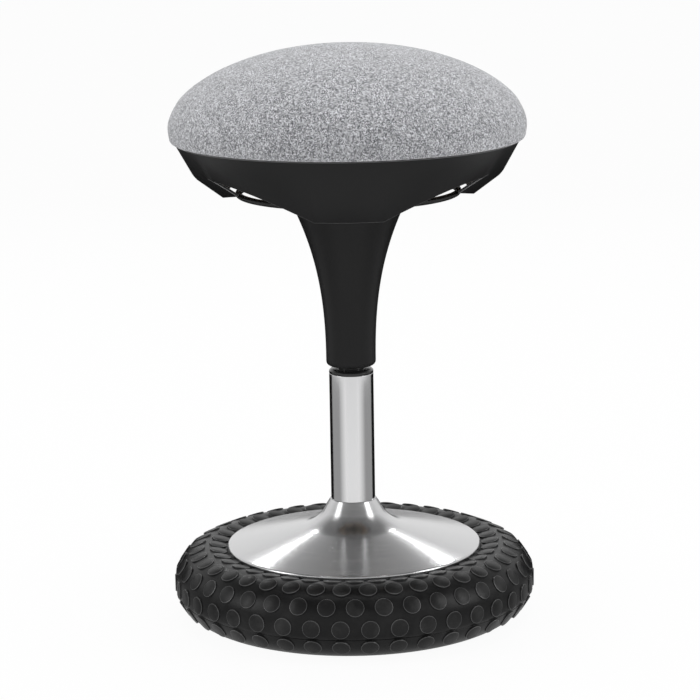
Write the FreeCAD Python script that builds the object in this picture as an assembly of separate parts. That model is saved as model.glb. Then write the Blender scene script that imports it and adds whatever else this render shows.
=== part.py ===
import FreeCAD, Part
import math
import os

# Height-adjustable wobble stool: a padded round seat on a gas column that stands in a
# heavy round base. The base is ringed by a studded rubber tyre, on whose rounded edge
# the whole stool rocks. Millimetres, +Z up, the floor at Z = 0 under the middle of the
# column, the front towards -Y.

# Tyre and its studs
tyre_ring_radius = 164.0
tyre_section_radius = 40.2
tyre_foot_depth = 0.2
stud_radius = 10.0
stud_height = 1.0
stud_sink = 2.0
stud_count = 40
stud_rows = [(102.0, 0.0), (66.5, 0.5), (33.5, 0.0), (0.0, 0.5), (-33.0, 0.5)]

# Base
sheet_wall = 1.5
base_plate_inset = 19.5
base_plate_clearance = 1.0
base_plate_slope = 13.2
neck_rise = 51.5
neck_lean = 31.5
neck_radius = 26.3
neck_fillet = 40.0
rim_wall = 2.0
rim_high_angle = 130.0
rim_low_angle = 228.0
pan_height = 9.0
pan_wall = 2.0
pan_inset = 31.6
pan_boss_rise = 3.0
pan_boss_radius = 52.0
pan_bend = 4.0
sleeve_wall = 5.0
sleeve_bottom = 10.0
sleeve_drop = 12.7
sleeve_ledge = 6.7
ballast_inner_radius = 62.0
ballast_inset = 46.0
ballast_thickness = 26.0
ballast_chamfer = 2.0
ballast_screw_count = 6
ballast_screw_radius = 3.9
ballast_screw_length = 22.0
ballast_screw_head_radius = 7.0
ballast_screw_head = 3.5

# Column
tube_radius = 25.0
tube_wall = 1.5
tube_top = 278.6
tube_end_wall = 3.0
bush_length = 78.0
bush_head = 5.2
bush_chamfer = 2.2
cylinder_radius = 14.0
cylinder_wall = 1.5
cylinder_nose = 14.0
cylinder_taper_length = 58.0
cylinder_taper_radius = 13.0
cylinder_roof = 8.0
cylinder_crimp = 1.5
seal_head_length = 20.0
rod_radius = 5.0
rod_top = 236.0
rod_collar_radius = 9.0
rod_collar = 4.0
piston_length = 16.0
race_radius = 14.0
race_thickness = 2.0
ball_radius = 2.0
ball_count = 10
ball_circle = 10.0
buffer_radius = 16.0
buffer_length = 20.0
washer_radius = 10.0
washer_thickness = 2.0
clip_radius = 9.0
clip_thickness = 1.8
clip_groove = 0.8
rod_tail = 2.0
pin_radius = 4.0
pin_stand = 8.0
pin_depth = 26.0
pin_travel = 2.5
pin_chamfer = 1.5

# Shroud that hides the column's upper part and travels with the seat
shroud_gap = 9.0
shroud_foot_radius = 28.0
shroud_wall = 2.5
shroud_flare_rise = 2.4
shroud_flare_width = 46.0
shroud_flare_power = 2.48
shroud_lip_radius = 5.0
shroud_bore = 15.2
shroud_flange_radius = 48.0
shroud_screw_circle_radius = 58.0
shroud_screw_count = 3

# Seat plate and its socket
seat_floor_height = 492.0
seat_plate_wall = 3.0
seat_floor_radius = 72.0
seat_wall_radius = 78.0
seat_flange_radius = 104.0
seat_window_width = 20.0
seat_window_margin = 8.0
socket_depth = 40.0
socket_rise = 8.0
socket_wall = 4.5
seat_screw_circle_radius = 92.0
seat_screw_count = 4

# Seat board, cushion and under-shell
seat_dish_depth = 38.2
board_thickness = 12.2
board_margin = 11.5
board_edge = 2.0
cover_radius = 198.3
cover_widest_rise = 17.5
cover_crown = 88.8
cover_tuck = 9.0
cover_crown_power = 1.785
cover_side_power = 2.183
cover_thickness = 2.0
cover_hem_width = 12.5
shell_wall = 3.0
shell_flank = 63.5
shell_depth = 70.0
shell_flange_wall = 3.0
shell_flange_width = 27.5
shell_screw_inset = 17.5
shell_cut_drop = 132.9
shell_cut_side = 0.50
shell_cut_front = 0.30
lobe_edge_inset = 20.3
lobe_edge_drop = 41.7
lobe_reach = 60.0
lobe_slope = 0.73
lobe_rise = 0.285
lobe_wall = 4.8
lobe_lip_drop = 2.8
lobe_width = 25.7
lobe_opening_taper = 0.18

# Ring handle and its lever
finger_room = 20.6
ring_drop = 7.2
ring_wire = 6.0
ring_weld_depth = 1.2
arm_wire = 6.0
arm_bend_radius = 12.0
arm_start = 26.0
arm_reach = 38.4
lever_radius = 42.0
lever_thickness = 3.0
fulcrum_radius = 22.0
fulcrum_rib = 2.0
cup_radius = 32.0

# Fasteners and fits
screw_radius = 3.9
screw_head_radius = 7.5
screw_head = 4.0
small_screw_radius = 2.0
small_screw_head_radius = 4.5
small_screw_head = 2.5
small_screw_length = 11.0
nut_flange_radius = 10.0
nut_flange = 1.5
nut_barrel_radius = 5.0
seat_gap = 0.3
fit_gap = 0.05
hole_gap = 0.4

AXIS = FreeCAD.Vector(0, 0, 1)
ORIGIN = FreeCAD.Vector(0, 0, 0)


def at(radius, height):
    """Point in the half plane that is turned about the column's axis."""
    return FreeCAD.Vector(radius, 0, height)


def arc_through(start, middle, end):
    return Part.Arc(start, middle, end).toShape()


def polygon(corners):
    points = [at(*corner) for corner in corners]
    return Part.Face(Part.makePolygon(points + points[:1]))


def turned(face):
    return face.revolve(ORIGIN, AXIS, 360)


def turned_polygon(corners):
    return turned(polygon(corners))


def ring(inner, outer, low, high):
    return turned_polygon([(inner, low), (outer, low), (outer, high), (inner, high)])


def chamfered_ring(inner, outer, low, high, cut):
    return turned_polygon([(inner + cut, low), (outer - cut, low), (outer, low + cut),
                           (outer, high - cut), (outer - cut, high), (inner + cut, high),
                           (inner, high - cut), (inner, low + cut)])


def disc(radius, low, high):
    return Part.makeCylinder(radius, high - low, FreeCAD.Vector(0, 0, low))


def around(shape, count, phase=0.0):
    """Copies of one shape, evenly spaced about the column's axis."""
    copies = []
    for index in range(count):
        copy = shape.copy()
        copy.rotate(ORIGIN, AXIS, phase + 360.0 * index / count)
        copies.append(copy)
    return copies


def bolt_holes(circle, count, radius, low, high, phase):
    hole = Part.makeCylinder(radius, high - low, FreeCAD.Vector(circle, 0, low))
    return around(hole, count, phase)


def rounded_path(corners, radii):
    """Edges of a run of straight legs whose inner corners are rounded."""
    points = [at(*corner) for corner in corners]
    edges = []
    start = points[0]
    for index in range(1, len(points) - 1):
        corner = points[index]
        back = (points[index - 1] - corner).normalize()
        ahead = (points[index + 1] - corner).normalize()
        half = math.acos(max(-1.0, min(1.0, back.dot(ahead)))) / 2
        radius = radii[index - 1]
        leg = radius / math.tan(half)
        first = corner + back * leg
        last = corner + ahead * leg
        centre = corner + (back + ahead).normalize() * (radius / math.sin(half))
        middle = centre + (corner - centre).normalize() * radius
        edges.append(Part.makeLine(start, first))
        edges.append(arc_through(first, middle, last))
        start = last
    edges.append(Part.makeLine(start, points[-1]))
    return edges


def beside(corners, wall):
    """The corners of a run moved sideways by a wall, to the right of its direction."""
    moved = []
    for index, (radius, height) in enumerate(corners):
        sides = []
        for near, far in ((index - 1, index), (index, index + 1)):
            if near >= 0 and far < len(corners):
                step_r = corners[far][0] - corners[near][0]
                step_z = corners[far][1] - corners[near][1]
                size = math.hypot(step_r, step_z)
                sides.append((step_z / size, -step_r / size))
        sum_r = sum(side[0] for side in sides)
        sum_z = sum(side[1] for side in sides)
        share = (sum_r * sides[0][0] + sum_z * sides[0][1])
        moved.append((radius + wall * sum_r / share, height + wall * sum_z / share))
    return moved


def bent_sheet(corners, radii, wall):
    """Turned sheet of one wall, given by its outer legs and their outer bend radii."""
    inner = beside(corners, wall)
    inner_radii = []
    for index, radius in enumerate(radii):
        (r0, z0), (r1, z1), (r2, z2) = corners[index:index + 3]
        turn = (r1 - r0) * (z2 - z1) - (z1 - z0) * (r2 - r1)
        inner_radii.append(max(0.2, radius - wall) if turn < 0 else radius + wall)
    outer_edges = rounded_path(corners, radii)
    inner_edges = rounded_path(inner, inner_radii)
    ends = [Part.makeLine(at(*corners[0]), at(*inner[0])),
            Part.makeLine(at(*corners[-1]), at(*inner[-1]))]
    wire = Part.Wire(Part.__sortEdges__(outer_edges + inner_edges + ends))
    return turned(Part.Face(wire))


# Places that follow from the sizes above
tyre_centre_height = tyre_section_radius - tyre_foot_depth
base_plate_radius = tyre_ring_radius - base_plate_inset
base_plate_rim_height = tyre_centre_height + tyre_section_radius + base_plate_clearance
neck_height = base_plate_rim_height + neck_rise
sleeve_top = neck_height - sleeve_drop
pan_radius = tyre_ring_radius - pan_inset
ballast_outer_radius = tyre_ring_radius - ballast_inset
ballast_screw_circle_radius = (ballast_inner_radius + ballast_outer_radius) / 2
shroud_bottom = tube_top + shroud_gap
shroud_flare_start = shroud_bottom + shroud_flare_rise
socket_bottom = seat_floor_height - socket_depth
socket_top = seat_floor_height + socket_rise
cylinder_top = seat_floor_height + cylinder_nose
cylinder_taper_start = cylinder_top - cylinder_taper_length
cylinder_bore_top = cylinder_taper_start - cylinder_roof
ring_height = seat_floor_height - ring_drop
board_height = seat_floor_height + seat_dish_depth
board_top = board_height + board_thickness
cover_seam_radius = cover_radius - cover_tuck
shell_top_radius = cover_seam_radius - seat_gap
board_radius = shell_top_radius - board_margin
cover_hem_radius = board_radius - cover_hem_width
cover_widest = board_top + cover_widest_rise
cover_top = cover_widest + cover_crown
shell_flange_radius = board_radius - shell_flange_width
shell_screw_circle_radius = board_radius - shell_screw_inset
shell_apron_height = board_top - shell_depth
shell_cut_height = board_top - shell_cut_drop
lobe_edge_radius = shell_top_radius - lobe_edge_inset
lobe_edge_height = board_top - lobe_edge_drop
lobe_opening = lobe_edge_radius - lobe_width
ring_radius = lobe_opening - finger_room
arm_bend = ring_radius - arm_reach
slope_fall = math.tan(math.radians(base_plate_slope))
shell_lean = 1 / math.tan(math.radians(shell_flank))
sleeve_inner_radius = tube_radius + fit_gap
sleeve_radius = sleeve_inner_radius + sleeve_wall
tube_bottom = sleeve_bottom + sleeve_ledge + seat_gap
tube_inner_radius = tube_radius - tube_wall
race_bottom = tube_bottom + tube_end_wall
collar_bottom = race_bottom + 2 * race_thickness + 2 * ball_radius
buffer_bottom = collar_bottom + rod_collar
cylinder_bottom = buffer_bottom + buffer_length + seat_gap
cylinder_inner_radius = cylinder_radius - cylinder_wall
clip_top = tube_bottom - washer_thickness - 2 * fit_gap
pin_top = cylinder_top + pin_stand
lever_bottom = pin_top + seat_gap
lever_top = lever_bottom + lever_thickness
cup_bottom = lever_top + seat_gap + fulcrum_rib
cover_bottom = board_top + seat_gap
flange_top = board_height - seat_gap
seat_flange_bottom = flange_top - seat_plate_wall
flange_floor = seat_floor_height - seat_gap


def tyre_section(angle, distance):
    """Point near the tyre's round section, by its angle above the outward level."""
    turn = math.radians(angle)
    return at(tyre_ring_radius + distance * math.cos(turn),
              tyre_centre_height + distance * math.sin(turn))


def tyre_surface_height(radius):
    reach = tyre_section_radius ** 2 - (radius - tyre_ring_radius) ** 2
    return tyre_centre_height + math.sqrt(reach)


def make_tyre():
    """Rubber ring with a flattened foot and rows of low round studs."""
    half_foot = math.sqrt(tyre_section_radius ** 2 - tyre_centre_height ** 2)
    outer_foot = at(tyre_ring_radius + half_foot, 0)
    inner_foot = at(tyre_ring_radius - half_foot, 0)
    crown = tyre_section(90, tyre_section_radius)
    section = Part.Wire([arc_through(outer_foot, tyre_section(0, tyre_section_radius), crown),
                         arc_through(crown, tyre_section(180, tyre_section_radius), inner_foot),
                         Part.makeLine(inner_foot, outer_foot)])
    rubber = turned(Part.Face(section))
    studs = []
    for angle, phase in stud_rows:
        low = tyre_section(angle, tyre_section_radius - stud_sink)
        outward = (tyre_section(angle, tyre_section_radius) - low).normalize()
        stud = Part.makeCylinder(stud_radius, stud_sink + stud_height, low, outward)
        studs += around(stud, stud_count, 360.0 * phase / stud_count - 90)
    return rubber.fuse(studs)


def make_rim():
    """Rolled rim that holds the tyre from inside and carries the base plate."""
    inner = tyre_section_radius + seat_gap
    outer = inner + rim_wall
    low_in, low_out = tyre_section(rim_low_angle, inner), tyre_section(rim_low_angle, outer)
    high_in, high_out = tyre_section(rim_high_angle, inner), tyre_section(rim_high_angle, outer)
    leg_radius = high_in.x

    def under_plate(radius):
        rise = (base_plate_radius - radius) * slope_fall
        drop = sheet_wall / math.cos(math.radians(base_plate_slope))
        return base_plate_rim_height + rise - drop - seat_gap

    leg_out = at(leg_radius, under_plate(leg_radius))
    leg_in = at(leg_radius - rim_wall, under_plate(leg_radius - rim_wall))
    foot = at(leg_radius - rim_wall, tyre_centre_height
              + math.sqrt(outer ** 2 - (tyre_ring_radius - leg_radius + rim_wall) ** 2))
    edges = [arc_through(low_in, tyre_section(180, inner), high_in),
             Part.makeLine(high_in, leg_out), Part.makeLine(leg_out, leg_in),
             Part.makeLine(leg_in, foot),
             arc_through(foot, tyre_section(180, outer), low_out),
             Part.makeLine(low_out, low_in)]
    return turned(Part.Face(Part.Wire(edges)))


def make_base_plate():
    """Spun trumpet cover: leaning neck, sweeping fillet, shallow cone, turned-down lip."""
    lean = math.tan(math.radians(neck_lean))
    level = base_plate_rim_height + base_plate_radius * slope_fall
    meet_radius = (neck_height + neck_radius / lean - level) / (1 / lean - slope_fall)
    meet_height = level - meet_radius * slope_fall
    lip_bottom = tyre_surface_height(base_plate_radius) + seat_gap
    corners = [(neck_radius, neck_height), (meet_radius, meet_height),
               (base_plate_radius, base_plate_rim_height), (base_plate_radius, lip_bottom)]
    return bent_sheet(corners, [neck_fillet, sheet_wall + 0.8], sheet_wall)


def make_bottom_pan():
    corners = [(sleeve_radius + seat_gap, pan_height + pan_boss_rise),
               (pan_boss_radius, pan_height + pan_boss_rise),
               (pan_boss_radius + 2 * pan_boss_rise, pan_height),
               (pan_radius, pan_height)]
    pan = bent_sheet(corners, [pan_bend, pan_bend], -pan_wall)
    holes = bolt_holes(ballast_screw_circle_radius, ballast_screw_count,
                       ballast_screw_radius + hole_gap, 0, pan_height + 2 * pan_wall, 0)
    return pan.cut(holes)


def make_ballast():
    low = pan_height + pan_wall + seat_gap
    ballast = chamfered_ring(ballast_inner_radius, ballast_outer_radius,
                             low, low + ballast_thickness, ballast_chamfer)
    holes = bolt_holes(ballast_screw_circle_radius, ballast_screw_count,
                       ballast_screw_radius + fit_gap, 0, pan_height + ballast_screw_length + 1, 0)
    return ballast.cut(holes)


def make_ballast_screws():
    """Low-headed screws that go up through the pan into the ballast."""
    head = Part.makeCylinder(ballast_screw_head_radius, ballast_screw_head,
                             FreeCAD.Vector(ballast_screw_circle_radius, 0,
                                            pan_height - ballast_screw_head))
    shank = Part.makeCylinder(ballast_screw_radius, ballast_screw_length,
                              FreeCAD.Vector(ballast_screw_circle_radius, 0, pan_height))
    return Part.makeCompound(around(head.fuse(shank), ballast_screw_count))


def make_hub_sleeve():
    """Thick sleeve that the column's tube stands in, on a ledge at its foot."""
    ledge_inner = sleeve_inner_radius - sleeve_wall
    return turned_polygon([(ledge_inner, sleeve_bottom), (sleeve_radius, sleeve_bottom),
                           (sleeve_radius, sleeve_top), (sleeve_inner_radius, sleeve_top),
                           (sleeve_inner_radius, sleeve_bottom + sleeve_ledge),
                           (ledge_inner, sleeve_bottom + sleeve_ledge)])


def make_outer_tube():
    hole = rod_radius + hole_gap
    return turned_polygon([(hole, tube_bottom), (tube_radius, tube_bottom),
                           (tube_radius, tube_top), (tube_inner_radius, tube_top),
                           (tube_inner_radius, race_bottom), (hole, race_bottom)])


def make_guide_bush():
    """Plastic bush: a long guide inside the tube and a bevelled head on its mouth."""
    bore = cylinder_radius + fit_gap
    sleeve = tube_inner_radius - fit_gap
    head_low = tube_top + fit_gap
    head_high = head_low + bush_head
    bottom = tube_top - bush_length
    return turned_polygon([(bore + 1, bottom), (sleeve - 1, bottom), (sleeve, bottom + 3),
                           (sleeve, head_low), (tube_radius, head_low),
                           (tube_radius, head_high - bush_chamfer),
                           (tube_radius - bush_chamfer, head_high), (bore + 1, head_high),
                           (bore, head_high - 1), (bore, bottom + 1)])


def make_race(bottom):
    return chamfered_ring(rod_radius + hole_gap, race_radius, bottom,
                          bottom + race_thickness, 0.4)


def make_bearing_balls():
    height = race_bottom + race_thickness + ball_radius
    ball = Part.makeSphere(ball_radius - fit_gap, FreeCAD.Vector(ball_circle, 0, height))
    return Part.makeCompound(around(ball, ball_count))


def make_ball_cage():
    middle = race_bottom + race_thickness + ball_radius
    cage = ring(rod_radius + 1.5, race_radius - 0.8, middle - 0.6, middle + 0.6)
    return cage.cut(bolt_holes(ball_circle, ball_count, ball_radius + fit_gap,
                               middle - ball_radius, middle + ball_radius, 0))


def make_piston_rod():
    """Rod held at the tube's foot: clip groove, collar on the bearing, neck for the piston."""
    groove_top = clip_top
    groove_bottom = clip_top - clip_thickness - 2 * fit_gap
    neck = rod_radius - clip_groove
    piston_bottom = rod_top - piston_length - rod_tail
    return turned_polygon([(0, groove_bottom - rod_tail), (rod_radius - 1, groove_bottom - rod_tail),
                           (rod_radius, groove_bottom - rod_tail + 1), (rod_radius, groove_bottom),
                           (neck, groove_bottom), (neck, groove_top), (rod_radius, groove_top),
                           (rod_radius, collar_bottom), (rod_collar_radius, collar_bottom),
                           (rod_collar_radius, buffer_bottom), (rod_radius, buffer_bottom),
                           (rod_radius, piston_bottom), (neck, piston_bottom),
                           (neck, rod_top), (0, rod_top)])


def make_piston():
    bore = rod_radius - clip_groove + fit_gap
    outer = cylinder_inner_radius - fit_gap
    bottom = rod_top - piston_length - rod_tail + fit_gap
    groove = bottom + piston_length / 2
    return turned_polygon([(bore, bottom), (outer - 1, bottom), (outer, bottom + 1),
                           (outer, groove - 2), (outer - 1.2, groove - 2),
                           (outer - 1.2, groove + 2), (outer, groove + 2),
                           (outer, bottom + piston_length - 1),
                           (outer - 1, bottom + piston_length), (bore, bottom + piston_length)])


def make_buffer():
    """Rubber bump stop on the rod, with a waist that lets it bulge."""
    low, high = buffer_bottom + fit_gap, buffer_bottom + buffer_length
    bore = rod_radius + hole_gap
    waist = arc_through(at(buffer_radius, low + 4),
                        at(buffer_radius - 2.5, (low + high) / 2), at(buffer_radius, high - 4))
    legs = [(buffer_radius, high - 4), (buffer_radius - 2, high), (bore, high),
            (bore, low), (buffer_radius - 2, low), (buffer_radius, low + 4)]
    path = Part.makePolygon([at(*leg) for leg in legs])
    return turned(Part.Face(Part.Wire([waist] + path.Edges)))


def make_washer():
    return ring(rod_radius + hole_gap, washer_radius, clip_top + fit_gap,
                clip_top + fit_gap + washer_thickness)


def make_clip():
    """Horseshoe spring clip in the rod's groove."""
    bottom = clip_top - clip_thickness - fit_gap
    bore = rod_radius - clip_groove + fit_gap
    clip = ring(bore, clip_radius, bottom, bottom + clip_thickness)
    mouth = Part.makeBox(2 * clip_radius, 1.8 * bore, 3 * clip_thickness,
                         FreeCAD.Vector(0, -0.9 * bore, bottom - clip_thickness))
    return clip.cut(mouth)


def make_gas_cylinder():
    """Pressure cylinder: rolled-in foot, straight barrel, taper, pin bore in its nose."""
    bore = pin_radius + fit_gap
    crimp = cylinder_inner_radius - 3
    nose = 1.0
    pin_floor = pin_top - pin_stand - pin_depth - pin_travel - 1
    return turned_polygon([(crimp, cylinder_bottom), (cylinder_radius - nose, cylinder_bottom),
                           (cylinder_radius, cylinder_bottom + nose),
                           (cylinder_radius, cylinder_taper_start),
                           (cylinder_taper_radius, cylinder_top - nose),
                           (cylinder_taper_radius - nose, cylinder_top), (bore, cylinder_top),
                           (bore, pin_floor), (0, pin_floor), (0, cylinder_bore_top),
                           (cylinder_inner_radius, cylinder_bore_top),
                           (cylinder_inner_radius, cylinder_bottom + cylinder_crimp),
                           (crimp, cylinder_bottom + cylinder_crimp)])


def make_seal_head():
    low = cylinder_bottom + cylinder_crimp + fit_gap
    return chamfered_ring(rod_radius + fit_gap, cylinder_inner_radius - fit_gap,
                          low, low + seal_head_length, 1.0)


def make_valve_pin():
    bottom = pin_top - pin_stand - pin_depth
    return turned_polygon([(0, bottom), (pin_radius - 1, bottom), (pin_radius, bottom + 1),
                           (pin_radius, pin_top - pin_chamfer),
                           (pin_radius - pin_chamfer, pin_top), (0, pin_top)])


def shroud_radius(height):
    """Outer radius of the shroud: a straight foot that flares ever faster upwards."""
    rise = max(0.0, height - shroud_flare_start)
    share = rise / (flange_floor - shroud_flare_start)
    return shroud_foot_radius + shroud_flare_width * share ** shroud_flare_power


def make_shroud():
    """Moulded trumpet cover with a closed-in lip at its foot and a flange at its head."""
    low = shroud_flare_start + shroud_lip_radius
    heights = [low + (flange_floor - low) * step / 10 for step in range(11)]
    outer = Part.BSplineCurve()
    outer.interpolate([at(shroud_radius(height), height) for height in heights])
    inner = Part.BSplineCurve()
    inner.interpolate([at(shroud_radius(height) - shroud_wall, height) for height in heights])
    foot_inner = shroud_foot_radius - shroud_wall
    lip_in = shroud_foot_radius - shroud_lip_radius
    floor = shroud_bottom + shroud_wall
    bend = shroud_lip_radius * math.sqrt(0.5)
    lip_centre = at(lip_in, shroud_bottom + shroud_lip_radius)
    lip = arc_through(at(lip_in, shroud_bottom), lip_centre + at(bend, -bend),
                      at(shroud_foot_radius, shroud_bottom + shroud_lip_radius))
    top = flange_floor
    flange_bottom = top - shroud_wall
    head_inner = shroud_radius(top) - shroud_wall
    outside = [Part.makeLine(at(shroud_bore, shroud_bottom), at(lip_in, shroud_bottom)), lip,
               Part.makeLine(at(shroud_foot_radius, shroud_bottom + shroud_lip_radius),
                             outer.StartPoint), outer.toShape()]
    inside = [Part.makeLine(outer.EndPoint, inner.EndPoint), inner.toShape(),
              Part.makeLine(inner.StartPoint, at(foot_inner, floor)),
              Part.makeLine(at(foot_inner, floor), at(shroud_bore, floor)),
              Part.makeLine(at(shroud_bore, floor), at(shroud_bore, shroud_bottom))]
    trumpet = turned(Part.Face(Part.Wire(Part.__sortEdges__(outside + inside))))
    flange = ring(shroud_flange_radius, head_inner + 0.5, flange_bottom, top)
    holes = bolt_holes(shroud_screw_circle_radius, shroud_screw_count,
                       small_screw_radius + fit_gap, flange_bottom - 1, top + 1, 30)
    return trumpet.fuse(flange).cut(holes)


def taper_radius(height):
    """The cylinder's outer radius along its taper."""
    share = (height - cylinder_taper_start) / (cylinder_top - 1 - cylinder_taper_start)
    return cylinder_radius + (cylinder_taper_radius - cylinder_radius) * share


def make_socket():
    """Tapered socket that is welded into the seat plate and wedges onto the cylinder."""
    low = taper_radius(socket_bottom) + fit_gap
    high = taper_radius(socket_top) + fit_gap
    outer = cylinder_radius + socket_wall
    return turned_polygon([(low, socket_bottom), (outer, socket_bottom),
                           (outer, socket_top), (high, socket_top)])


def make_seat_plate():
    """Pressed dish: floor round the socket, windowed wall, flange under the board."""
    floor_top = seat_floor_height + seat_plate_wall
    corners = [(cylinder_radius + socket_wall + fit_gap, seat_floor_height),
               (seat_floor_radius, seat_floor_height),
               (seat_wall_radius, seat_flange_bottom), (seat_flange_radius, seat_flange_bottom)]
    plate = bent_sheet(corners, [6.0, 4.0], -seat_plate_wall)
    reach = (seat_wall_radius - seat_floor_radius
             + 2 * (seat_plate_wall + seat_window_margin))
    window = Part.makeBox(reach, seat_window_width, flange_top - seat_plate_wall - floor_top,
                          FreeCAD.Vector(seat_floor_radius - seat_plate_wall
                                         - seat_window_margin,
                                         -seat_window_width / 2, floor_top))
    holes = bolt_holes(seat_screw_circle_radius, seat_screw_count, screw_radius + hole_gap,
                       seat_flange_bottom - 1, flange_top + 1, 45)
    shroud_holes = bolt_holes(shroud_screw_circle_radius, shroud_screw_count, small_screw_radius + fit_gap,
                              seat_floor_height - 1, floor_top + 1, 30)
    return plate.cut(around(window, 4) + holes + shroud_holes)


def make_shroud_screws():
    """Short screws down through the dish's floor into the shroud's flange."""
    head_low = seat_floor_height + seat_plate_wall
    centre = FreeCAD.Vector(shroud_screw_circle_radius, 0, 0)
    head = Part.makeCylinder(small_screw_head_radius, small_screw_head,
                             centre + AXIS * head_low)
    length = seat_plate_wall + shroud_wall + 2
    shank = Part.makeCylinder(small_screw_radius, length, centre + AXIS * (head_low - length))
    return Part.makeCompound(around(head.fuse(shank), shroud_screw_count, 30))


def make_fulcrum_cup():
    """Nylon cup under the board, whose rounded rib is what the lever rocks on."""
    cup = disc(cup_radius, cup_bottom, flange_top)
    rib_low = arc_through(at(fulcrum_radius - fulcrum_rib, cup_bottom),
                          at(fulcrum_radius, cup_bottom - fulcrum_rib),
                          at(fulcrum_radius + fulcrum_rib, cup_bottom))
    inner_top = at(fulcrum_radius - fulcrum_rib, cup_bottom + 1)
    outer_top = at(fulcrum_radius + fulcrum_rib, cup_bottom + 1)
    sides = Part.makePolygon([at(fulcrum_radius + fulcrum_rib, cup_bottom), outer_top,
                              inner_top, at(fulcrum_radius - fulcrum_rib, cup_bottom)])
    rib = turned(Part.Face(Part.Wire([rib_low] + sides.Edges)))
    return cup.fuse(rib)


def make_lever_plate():
    """Round plate that the pin pushes up against the cup's rib."""
    return disc(lever_radius, lever_bottom, lever_top)


def make_release_ring():
    """Wire ring under the seat on four bent arms that are welded to the lever plate."""
    circle = Part.makeTorus(ring_radius, ring_wire / 2, FreeCAD.Vector(0, 0, ring_height))
    arm_height = lever_bottom - fit_gap - arm_wire / 2
    path = [at(arm_start, arm_height), at(arm_bend, arm_height),
            at(ring_radius - ring_weld_depth, ring_height + ring_weld_depth)]
    arm = path_tube(path, arm_wire / 2, arm_bend_radius)
    return circle.fuse(around(arm, 4))


def path_tube(points, radius, bend):
    """Round wire along straight legs with a rounded corner."""
    first, corner, last = points
    back = (first - corner).normalize()
    ahead = (last - corner).normalize()
    half = math.acos(back.dot(ahead)) / 2
    leg = bend / math.tan(half)
    start, end = corner + back * leg, corner + ahead * leg
    centre = corner + (back + ahead).normalize() * (bend / math.sin(half))
    middle = centre + (corner - centre).normalize() * bend
    spine = Part.Wire([Part.makeLine(first, start), arc_through(start, middle, end),
                       Part.makeLine(end, last)])
    section = Part.Wire(Part.makeCircle(radius, first, first - corner))
    return spine.makePipeShell([section], True, False)


def make_seat_board():
    """Plywood disc with stopped holes for the nuts above and the shell's screws below."""
    board = turned_polygon([(0, board_height), (board_radius - board_edge, board_height),
                            (board_radius, board_height + board_edge),
                            (board_radius, board_top - board_edge),
                            (board_radius - board_edge, board_top), (0, board_top)])
    barrel = bolt_holes(seat_screw_circle_radius, seat_screw_count, nut_barrel_radius + fit_gap,
                        board_height - 1, board_top + 1, 45)
    recess = bolt_holes(seat_screw_circle_radius, seat_screw_count, nut_flange_radius + fit_gap,
                        board_top - nut_flange - fit_gap, board_top + 1, 45)
    pilot = bolt_holes(shell_screw_circle_radius, seat_screw_count, small_screw_radius + fit_gap,
                       board_height - 1, board_height + small_screw_length - 2, 45)
    return board.cut(barrel + recess + pilot)


def make_tee_nuts():
    centre = FreeCAD.Vector(seat_screw_circle_radius, 0, 0)
    flange_low = board_top - nut_flange
    flange = Part.makeCylinder(nut_flange_radius, nut_flange, centre + AXIS * flange_low)
    barrel = Part.makeCylinder(nut_barrel_radius, flange_low - board_height - 1,
                               centre + AXIS * (board_height + 1))
    bore = Part.makeCylinder(screw_radius + fit_gap, board_top - board_height + 2,
                             centre + AXIS * (board_height - 1))
    return Part.makeCompound(around(flange.fuse(barrel).cut(bore), seat_screw_count, 45))


def make_seat_screws():
    centre = FreeCAD.Vector(seat_screw_circle_radius, 0, 0)
    head = Part.makeCylinder(screw_head_radius, screw_head,
                             centre + AXIS * (seat_flange_bottom - screw_head))
    shank = Part.makeCylinder(screw_radius, board_top - 1 - seat_flange_bottom,
                              centre + AXIS * seat_flange_bottom)
    return Part.makeCompound(around(head.fuse(shank), seat_screw_count, 45))


def cushion_solid(inset):
    """Domed cushion, drawn in under its widest line to the seam, at an inset from its skin."""
    widest = cover_radius - inset
    rise = cover_top - cover_widest - inset
    seam = cover_seam_radius - inset
    bottom = cover_bottom + inset
    crown = []
    for step in range(10):
        turn = math.pi / 2 * step / 9
        share = math.sin(turn)
        side = max(0.0, 1 - share ** cover_crown_power) ** (1 / cover_side_power)
        crown.append(at(widest * side, cover_widest + rise * share))
    dome = Part.BSplineCurve()
    dome.interpolate(crown)
    tuck_turn = math.pi / 4
    tuck_mid = at(seam + (widest - seam) * math.cos(tuck_turn),
                  cover_widest - (cover_widest - bottom) * math.sin(tuck_turn))
    tuck = arc_through(at(widest, cover_widest), tuck_mid, at(seam, bottom))
    outline = [dome.toShape(), tuck, Part.makeLine(at(seam, bottom), at(0, bottom)),
               Part.makeLine(at(0, bottom), crown[-1])]
    return turned(Part.Face(Part.Wire(outline)))


def make_seat_cover():
    """Fabric skin over the foam, open underneath inside its stapled hem."""
    opening = disc(cover_hem_radius, cover_bottom - 1, cover_bottom + cover_thickness + 1)
    return cushion_solid(0.0).cut([cushion_solid(cover_thickness), opening])


def make_seat_foam():
    step = disc(cover_hem_radius - seat_gap, cover_bottom, cover_bottom + cover_thickness + 1)
    return cushion_solid(cover_thickness + fit_gap).fuse(step).removeSplitter()


def half_space_below(height, side, front, across, along):
    """Everything under a plane that rises by side per mm of X and front per mm of Y."""
    span, depth = 400.0, 400.0
    corners = []
    for x, y in ((-span, -span), (span, -span), (span, span), (-span, span)):
        corners.append(FreeCAD.Vector(x, y, height + side * across * x + front * along * y))
    top = Part.Face(Part.makePolygon(corners + corners[:1]))
    return top.extrude(FreeCAD.Vector(0, 0, -depth))


def shell_radius(height):
    return shell_top_radius - (board_top - height) * shell_lean


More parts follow.
